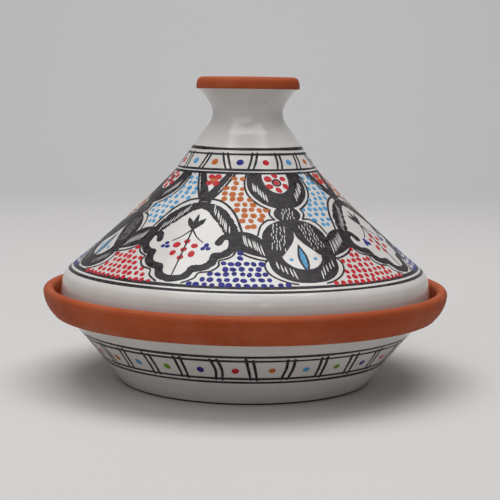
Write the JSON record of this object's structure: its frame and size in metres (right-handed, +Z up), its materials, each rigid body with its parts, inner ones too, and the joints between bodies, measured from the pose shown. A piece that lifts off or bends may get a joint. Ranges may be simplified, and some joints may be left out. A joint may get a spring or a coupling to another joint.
{
  "type": "tagine pot",
  "caption": "Glazed clay tagine pot: shallow footed dish with a bare clay collar and a tall cone lid that lifts off by its cup-shaped knob.",
  "frame": {"origin": "on the table, under the middle of the foot", "axes": "+Z up along the axis that the pot was thrown on; +X to the right and +Y away from a person in front of it"},
  "size_m": [0.272, 0.272, 0.2035],
  "materials": {
    "terracotta": "matte, unglazed, fine grain",
    "white_glaze": "glossy, slightly uneven",
    "black_paint": "painted lines under the glaze, streaky",
    "red_paint": "painted spots under the glaze",
    "cobalt_paint": "painted spots under the glaze",
    "ochre_paint": "painted spots under the glaze",
    "sky_paint": "painted spots under the glaze",
    "green_paint": "painted spots under the glaze"
  },
  "bodies": {
    "dish": {"dish_body": "terracotta", "dish_outside_glaze": "white_glaze", "dish_inside_glaze": "white_glaze"},
    "lid": {"lid_cone": "terracotta", "lid_outside_glaze": "white_glaze", "lid_inside_glaze": "white_glaze", "lid_knob": "terracotta", "knob_glaze": "white_glaze"}
  },
  "joints": [
    {"name": "lid_lift", "type": "slide", "parent": "dish", "child": "lid", "axis": [0, 0, 1], "range_m": [0, 0.25]}
  ]
}
